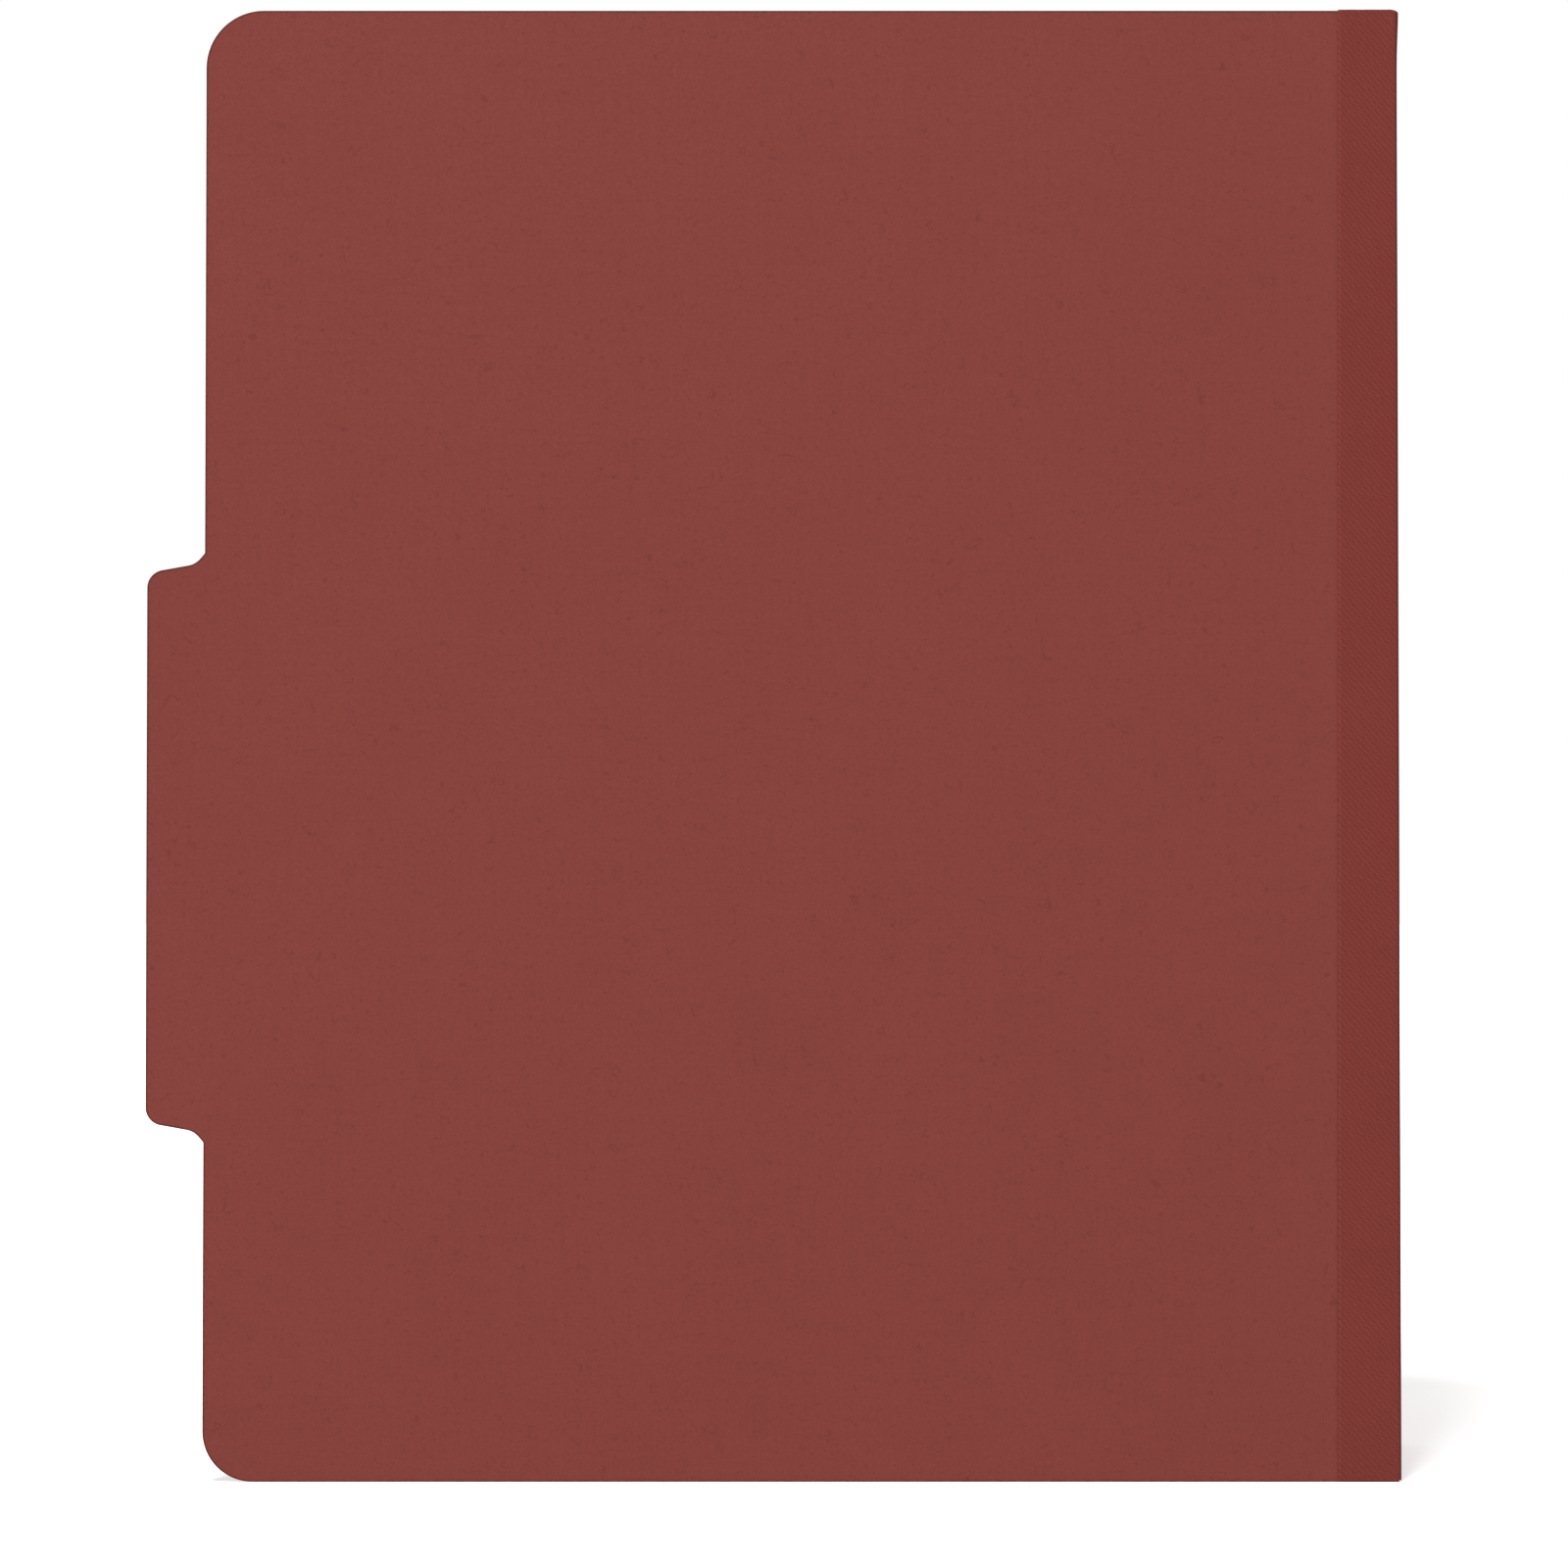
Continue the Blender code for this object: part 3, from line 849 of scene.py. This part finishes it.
def add_front_cover():
    """Front board, without a tab."""
    outside = -EDGE_OFFSET
    corners = leaf_corners(-EDGE_OFFSET, COVER_WIDTH, 0.0, COVER_HEIGHT)
    board = add_plate("front_cover_board", corners, outside - COVER_BOARD, outside, BOARD_RIM,
                      FRONT_COVER, PRESSBOARD, wear_and_shade_width=EDGE_WEAR_AND_SHADE_WIDTH)
    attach(board, "front")
    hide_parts("front_cover")


def divider_slits(matrix, fastener):
    """Slits in a divider for the roots of its prongs."""
    to_leaf = matrix.inverted()
    slits = []
    for end in ("spine", "fore"):
        crease = to_leaf @ Vector(JOINTS[f"{fastener}_prong_{end}_fold"]["pos_m"])
        slits.append(rectangle(crease.x, crease.z, SLOT_LENGTH, SLOT_WIDTH))
    return slits


def add_divider(name, body, matrix):
    """Kraft divider that curls a little towards its fore edge."""
    spine = -EDGE_OFFSET - TAPE - GAP
    low = -LAND / 2 - DIVIDER_BOARD / 2
    high = -LAND / 2 + DIVIDER_BOARD / 2
    corners = leaf_corners(spine, DIVIDER_WIDTH, DIVIDER_FOOT, DIVIDER_HEAD)
    slits = divider_slits(matrix, f"{name}_front")
    board = add_plate(f"{name}_board", corners, low, high, BOARD_RIM, matrix, KRAFT, slits,
                      wear_and_shade_width=EDGE_WEAR_AND_SHADE_WIDTH)
    reach = DIVIDER_WIDTH * BOW_SHARE
    bow_plate(board, spine - DIVIDER_WIDTH + reach, reach, DIVIDER_BOW)
    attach(board, body)
    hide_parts(name)


# Cloth

def cloth_rows():
    """Heights of the rows of points in a strip of cloth."""
    return evenly(TAPE_FOOT, TAPE_HEAD, CLOTH_ROW)


def ripple(length, height, amount):
    """Gentle unevenness of cloth, from nothing to the amount."""
    swell = noise.noise(Vector((length / RIPPLE_LENGTH, height / RIPPLE_HEIGHT, RIPPLE_LAYER)))
    return amount * (0.5 + 0.5 * swell)


def waver(length, height):
    """Unevenness of the cut at the head and the foot of a strip of cloth."""
    if TAPE_FOOT + CLOTH_ROW / 2 < height < TAPE_HEAD - CLOTH_ROW / 2:
        return 0.0
    inward = 1.0 if height < COVER_HEIGHT / 2 else -1.0
    swell = noise.noise(Vector((length / WAVER_LENGTH, height / WAVER_HEIGHT, WAVER_LAYER)))
    return inward * CUT_WAVER * (0.5 + 0.5 * swell)


def cloth_path(corners):
    """Path of cloth through rounded corners, with close points."""
    return spaced(rounded(corners, closed=False), CLOTH_STEP)


def declare_cloth(path, rows):
    """Works out the flat size of a strip of cloth: the length of its path and the span of its rows.
    """
    flat = (lengths_along(path)[-1], rows[-1] - rows[0])


def taper_flange(tape):
    """Narrows the flange of a tape towards its head and widens it towards its foot."""
    for point in tape.data.vertices:
        across = min(1.0, max(0.0, -point.co.x / FLANGE_WIDTH))
        upward = 2 * point.co.z / COVER_HEIGHT - 1.0
        point.co.x += TAPE_TAPER * across * upward


def add_back_tape():
    """Outer strip of the gusset: glued to the back board and turned over its spine edge."""
    level = -(COVER_BOARD + GLUE + TAPE / 2)
    path = cloth_path([
        (TAPE / 2 - FLANGE_WIDTH, level, 0.0),
        (0.0, level, WRAP_RADIUS),
        (0.0, CREASE_GAP, 0.0),
    ])
    flange = lengths_along(path)[-1] - 2 * WRAP_RADIUS

    def lift(length, height):
        wave = -ripple(length, height, TAPE_RIPPLE)
        near_head = smooth((height - TAPE_HEAD + FLARE_HEIGHT) / FLARE_HEIGHT)
        near_fold = smooth((length - flange + FLARE_WIDTH) / FLARE_WIDTH)
        return wave - HEAD_FLARE * near_head * near_head * near_fold

    def slip(length, height):
        at_head = height > TAPE_HEAD - CLOTH_ROW / 2
        corner = smooth((length - flange + CORNER_START) / CORNER_WIDTH)
        return waver(length, height) - (CORNER_DROP * corner if at_head else 0.0)

    rows = cloth_rows()
    tape = add_ribbon("back_tape_cloth", path, TAPE, rows, FOLDER, CLOTH, lift, slip, "start")
    taper_flange(tape)
    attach(tape, "back")
    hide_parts("back_tape")
    declare_cloth(path, rows)


def add_front_tape():
    """Last strip of the gusset, glued to the outside of the front board."""
    level = -EDGE_OFFSET + GLUE + TAPE / 2
    path = cloth_path([
        (0.0, 0.0, 0.0),
        (-2 * WRAP_RADIUS, level, WRAP_RADIUS),
        (-FLANGE_WIDTH, level, 0.0),
    ])

    def lift(length, height):
        return -ripple(length, height, TAPE_RIPPLE)

    rows = cloth_rows()
    tape = add_ribbon("front_tape_cloth", path, TAPE, rows, FRONT_COVER, CLOTH, lift, waver, "end")
    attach(tape, "front")
    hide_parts("front_tape")
    declare_cloth(path, rows)


def add_divider_tape(name, body, matrix):
    """Strip of cloth folded round the spine edge of a divider."""
    middle = -LAND / 2
    half = DIVIDER_BOARD / 2 + GLUE + TAPE / 2
    web = -EDGE_OFFSET - TAPE / 2
    end = -EDGE_OFFSET - DIVIDER_TAPE_WIDTH
    fold_radius = ROUND_SHARE * half
    path = cloth_path([
        (end, middle - half, 0.0),
        (web, middle - half, fold_radius),
        (web, middle + half, fold_radius),
        (end, middle + half, 0.0),
    ])

    def lift(length, height):
        return -ripple(length, height, DIVIDER_TAPE_RIPPLE)

    rows = evenly(DIVIDER_FOOT, DIVIDER_HEAD, CLOTH_ROW)
    tape = add_ribbon(f"{name}_tape_cloth", path, TAPE, rows, matrix, CLOTH, lift, waver,
                      "start end")
    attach(tape, body)
    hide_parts(f"{name}_tape")
    declare_cloth(path, rows)


def add_pleat(number, matrix, start, land, nodes, lead_in=()):
    """One pleat and the land after it, drawn at rest between two bodies. A lead-in is glued down.
    """
    pitch = 2 * PANEL * math.cos(PLEAT_LEAN)
    ridge = start + pitch
    path = cloth_path([
        *lead_in,
        (0.0, start, LUG_RADIUS if lead_in else 0.0),
        (-PANEL * math.sin(PLEAT_LEAN), start + pitch / 2, VALLEY_RADIUS),
        (0.0, ridge, RIDGE_RADIUS),
        (0.0, ridge + land, 0.0),
    ])
    pleat_end = lengths_along(path)[-1] - land
    pleat_start = pleat_end - 2 * PANEL

    def lift(length, height):
        share = (length - pleat_start) / PANEL
        if share < 0.0 or share > 2.0:
            return 0.0
        belly = math.sin(math.pi * (share % 1.0)) ** 2
        side = 1.0 if share < 1.0 else -1.0
        return belly * (ripple(length, height, PLEAT_RIPPLE) - PLEAT_HOLLOW) * side

    rows = cloth_rows()
    cloth = add_ribbon(f"gusset_pleat_{number}", path, TAPE, rows, matrix, CLOTH, lift, waver,
                       "start" if lead_in else "")
    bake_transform(cloth)
    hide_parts(*nodes)
    declare_cloth(path, rows)


def add_gusset():
    """The three pleats. The second and third start on a lug that is glued to a divider's tape."""
    level = -LAND / 2 + DIVIDER_BOARD / 2 + 2 * GLUE + 1.5 * TAPE
    lug = [(-LUG_WIDTH, level, 0.0), (-2 * WRAP_RADIUS, level, LUG_RADIUS)]
    add_pleat(1, FOLDER, CREASE_GAP, LAND,
              ["gusset_panel_1", "gusset_panel_2", "rear_divider_land"])
    add_pleat(2, REAR_LEAF, 0.0, LAND,
              ["gusset_panel_3", "gusset_panel_4", "front_divider_land"],
              lug)
    add_pleat(3, FRONT_LEAF, 0.0, EDGE_LAND,
              ["gusset_panel_5", "gusset_panel_6", "gusset_edge"], lug)


# Fasteners

def finish_steel(piece, body, node):
    """Seats a metal piece on its body."""
    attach(piece, body)
    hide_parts(node)


def face_level(leaf, matrix):
    """Height of a leaf's face in the frame of a fastener on it."""
    to_local = matrix.inverted()
    return max((to_local @ vertex.co).y for vertex in frame["nodes"][leaf].data.vertices)


def add_compressor(name, body, matrix):
    """Round-ended bar with a slot for each prong, two long ribs and a dimple at each end."""
    slots = []
    ribs = []
    for side in (-1, 1):
        slot_middle = side * PRONG_SPACING / 2
        slots.append(rectangle(slot_middle, 0.0, SLOT_LENGTH, SLOT_WIDTH, SLOT_CORNER))
        rib = rectangle(0.0, side * RIB_OFFSET, RIB_LENGTH, RIB_WIDTH, RIB_CORNER)
        dimple = rectangle(side * DIMPLE_OFFSET, 0.0, 2 * DIMPLE_RADIUS, 2 * DIMPLE_RADIUS,
                           DIMPLE_CORNER)
        ribs += [(rib, RIB_HEIGHT), (dimple, RIB_HEIGHT)]
    outline = rectangle(0.0, 0.0, BAR_LENGTH, BAR_WIDTH, BAR_CORNER)
    bar = add_plate(f"{name}_compressor_bar", outline, BAR_FOOT, BAR_TOP, BAR_RIM, matrix, STEEL,
                    slots, ribs)
    finish_steel(bar, body, f"{name}_compressor")


def add_prong(name, end, side, matrix):
    """Prong laid along the bar. Its round root turns on the crease."""
    root = side * (PRONG_SPACING + STRIP) / 2
    tip = side * (PRONG_SPACING / 2 - PRONG_LENGTH)
    half = PRONG_WIDTH / 2
    outline = [
        (root, -half, 0.0),
        (tip, -half, PRONG_TIP_RADIUS),
        (tip, half, PRONG_TIP_RADIUS),
        (root, half, 0.0),
    ]
    prong = add_plate(f"{name}_prong_{end}_strip", outline, -STRIP / 2, STRIP / 2, STRIP_RIM,
                      matrix, STEEL)
    finish_steel(prong, f"{name}_prong_{end}", f"{name}_prong_{end}")


def add_lock(name, end, side, matrix):
    """Sliding channel round the bar, with grip ridges on its roof and flared ends."""
    wall = (BAR_WIDTH + LOCK_SHEET) / 2 + GAP
    roof = STRIP / 2 + GAP + LOCK_SHEET / 2
    lip = BAR_FOOT - GAP - LOCK_SHEET / 2
    lip_end = wall + LOCK_SHEET / 2 - LOCK_LIP
    middle = side * (LOCK_GAP + LOCK_LENGTH) / 2
    path = rounded([
        (lip_end, lip, 0.0),
        (wall, lip, LOCK_BEND),
        (wall, roof, LOCK_BEND),
        (-wall, roof, LOCK_BEND),
        (-wall, lip, LOCK_BEND),
        (-lip_end, lip, 0.0),
    ], closed=False)
    path = spaced(path, 2 * LOCK_ROW)
    half_path = lengths_along(path)[-1] / 2

    def lift(length, station):
        along = station - middle
        on_roof = smooth((LOCK_GRIP_HALF - abs(length - half_path)) / LOCK_GRIP_FADE)
        ridges = 0.0
        for step in (-1, 0, 1):
            near = abs(along - step * LOCK_RIDGE_PITCH) / LOCK_RIDGE_HALF
            ridges += LOCK_RIDGE * smooth(1.0 - near)
        flare = smooth((abs(along) - LOCK_LENGTH / 2 + LOCK_FLARE_LENGTH) / LOCK_FLARE_LENGTH)
        return -(on_roof * (ridges + LOCK_FLARE * flare))

    stations = evenly(middle - LOCK_LENGTH / 2, middle + LOCK_LENGTH / 2, LOCK_ROW)
    lock = add_ribbon(f"{name}_lock_{end}_channel", path, LOCK_SHEET, stations, matrix, STEEL, lift,
                      along="X")
    finish_steel(lock, f"{name}_lock_{end}", f"{name}_lock_{end}")


def base_path(strip_level):
    """Strip along a face with a root that stands up to each crease."""
    half = PRONG_SPACING / 2
    return rounded([
        (-half, 0.0, 0.0),
        (-half, strip_level, STRIP_BEND),
        (half, strip_level, STRIP_BEND),
        (half, 0.0, 0.0),
    ], closed=False)


def add_base(name, body, matrix, face, rear_matrix=None):
    """Base strip of a fastener. On a divider it also has roots to the creases at the back."""
    strip_level = face + GLUE + STRIP / 2
    stations = evenly(-PRONG_WIDTH / 2, PRONG_WIDTH / 2, PRONG_WIDTH / 4)
    base = add_ribbon(f"{name}_base_strip", base_path(strip_level), STRIP, stations, matrix, STEEL)
    if rear_matrix:
        rear_crease = (matrix.inverted() @ rear_matrix.translation).y
        for side in (-1, 1):
            across = side * PRONG_SPACING / 2
            path = [Vector((across, strip_level)), Vector((across, rear_crease))]
            root = add_ribbon(f"{name}_rear_root", path, STRIP, stations, matrix, STEEL)
            merge_into(base, root)
    finish_steel(base, body, f"{name}_base")


def add_patch(name, body, matrix, face):
    """Board glued over the base of a cover's fastener, which shows through as a bulge."""
    low = face + GLUE
    outline = rectangle(0.0, 0.0, PATCH_LENGTH, PATCH_WIDTH, PATCH_CORNER)
    bulge = rectangle(0.0, 0.0, PATCH_BULGE_LENGTH, PATCH_BULGE_WIDTH, PATCH_BULGE_CORNER)
    patch = add_plate(f"{name}_patch_board", outline, low, low + PATCH_BOARD, BOARD_RIM, matrix,
                      PRESSBOARD, ribs=[(bulge, PATCH_BULGE)])
    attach(patch, body)
    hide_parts(f"{name}_patch")


def add_fasteners():
    """All six sets of bar, prongs and locks, the four bases and the two patches."""
    frames = {}
    for name, (body, looks_back) in FASTENERS.items():
        matrix = fastener_frame(name, looks_back)
        frames[name] = matrix
        add_compressor(name, body, matrix)
        for side in (-1, 1):
            end = "spine" if (side > 0) != looks_back else "fore"
            add_prong(name, end, side, matrix)
            add_lock(name, end, side, matrix)
    for name in ("back_cover", "front_cover"):
        body = FASTENERS[name][0]
        face = face_level(name, frames[name])
        add_base(name, body, frames[name], face)
        add_patch(name, body, frames[name], face)
    for name in ("rear_divider", "front_divider"):
        body = FASTENERS[f"{name}_front"][0]
        matrix = frames[f"{name}_front"]
        add_base(name, body, matrix, face_level(name, matrix), frames[f"{name}_rear"])


# Stage

def add_floor():
    """White floor that shows the folder's shadow."""
    graph = Graph(bpy.data.materials.new("white_floor"))
    graph.tree.nodes.remove(graph.tree.nodes["Principled BSDF"])
    place = graph.node("ShaderNodeTexCoord").outputs["Object"]
    away = graph.node("ShaderNodeVectorMath", [(0, place)], operation="LENGTH").outputs["Value"]
    strength = graph.fit(away, GLOW_DISTANCES, GLOW_STRENGTHS)
    glow = graph.node("ShaderNodeEmission", [("Strength", strength)])
    paint = graph.node("ShaderNodeBsdfDiffuse", [("Color", FLOOR_WHITE)])
    tint = graph.node("ShaderNodeBsdfDiffuse", [("Color", FLOOR_SEEN)])
    seen = graph.node("ShaderNodeAddShader", [(0, tint.outputs[0]), (1, glow.outputs[0])])
    graph.split(paint, seen, "Material Output")
    shape = bmesh.new()
    bmesh.ops.create_grid(shape, x_segments=2, y_segments=2, size=FLOOR_HALF)
    floor = place_mesh("floor", shape, Matrix.Identity(4), graph.owner)
    floor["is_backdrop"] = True


def add_world():
    """Even light from all round, and white where the camera looks past the floor."""
    world = bpy.data.worlds.new("studio")
    bpy.context.scene.world = world
    graph = Graph(world)
    graph.tree.nodes.remove(graph.tree.nodes["Background"])
    light = graph.node("ShaderNodeBackground", [("Color", WHITE), ("Strength", WORLD_LIGHT)])
    backdrop = graph.node("ShaderNodeBackground", [("Color", WHITE), ("Strength", 1.0)])
    graph.split(light, backdrop, "World Output")


def add_lamps():
    """Key lamp high up in front, a low fill to the left of it, and a wide lamp behind."""
    aim = Vector((0.0, 0.0, COVER_HEIGHT / 2))
    for name, (place, width, watts) in LAMPS.items():
        data = bpy.data.lights.new(name, "AREA")
        data.size = width
        data.energy = watts
        lamp = bpy.data.objects.new(name, data)
        lamp.location = place
        lamp.rotation_euler = (aim - Vector(place)).to_track_quat("-Z", "Y").to_euler()
        bpy.context.scene.collection.objects.link(lamp)


def add_camera():
    """Camera square on to the back cover, at the photograph's height and distance."""
    back_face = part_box("back_tape")[0].y
    spine_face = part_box("back_tape")[1].x
    data = bpy.data.cameras.new("camera")
    data.sensor_fit = "HORIZONTAL"
    data.sensor_width = SENSOR_WIDTH
    data.lens = SENSOR_WIDTH * CAMERA_DISTANCE / PHOTO_WIDTH
    camera = bpy.data.objects.new("camera", data)
    camera.location = (spine_face - CAMERA_FROM_SPINE, back_face - CAMERA_DISTANCE, CAMERA_HEIGHT)
    camera.rotation_euler = (math.pi / 2 + CAMERA_PITCH, 0.0, 0.0)
    bpy.context.scene.collection.objects.link(camera)
    bpy.context.scene.camera = camera


def write_sizes():
    """Gathers the box of the solids and the box of the dressed part."""
    boxes = {"cad": CAD_BOX, "visual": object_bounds()}
    {name: [list(corner) for corner in box] for name, box in boxes.items()}


bpy.context.scene.view_settings.view_transform = "Standard"
add_camera()
add_floor()
add_world()
add_lamps()
add_back_cover()
add_front_cover()
add_divider("rear_divider", "rear_leaf", REAR_LEAF)
add_divider("front_divider", "front_leaf", FRONT_LEAF)
add_back_tape()
add_front_tape()
add_divider_tape("rear_divider", "rear_leaf", REAR_LEAF)
add_divider_tape("front_divider", "front_leaf", FRONT_LEAF)
add_gusset()
add_fasteners()
write_sizes()
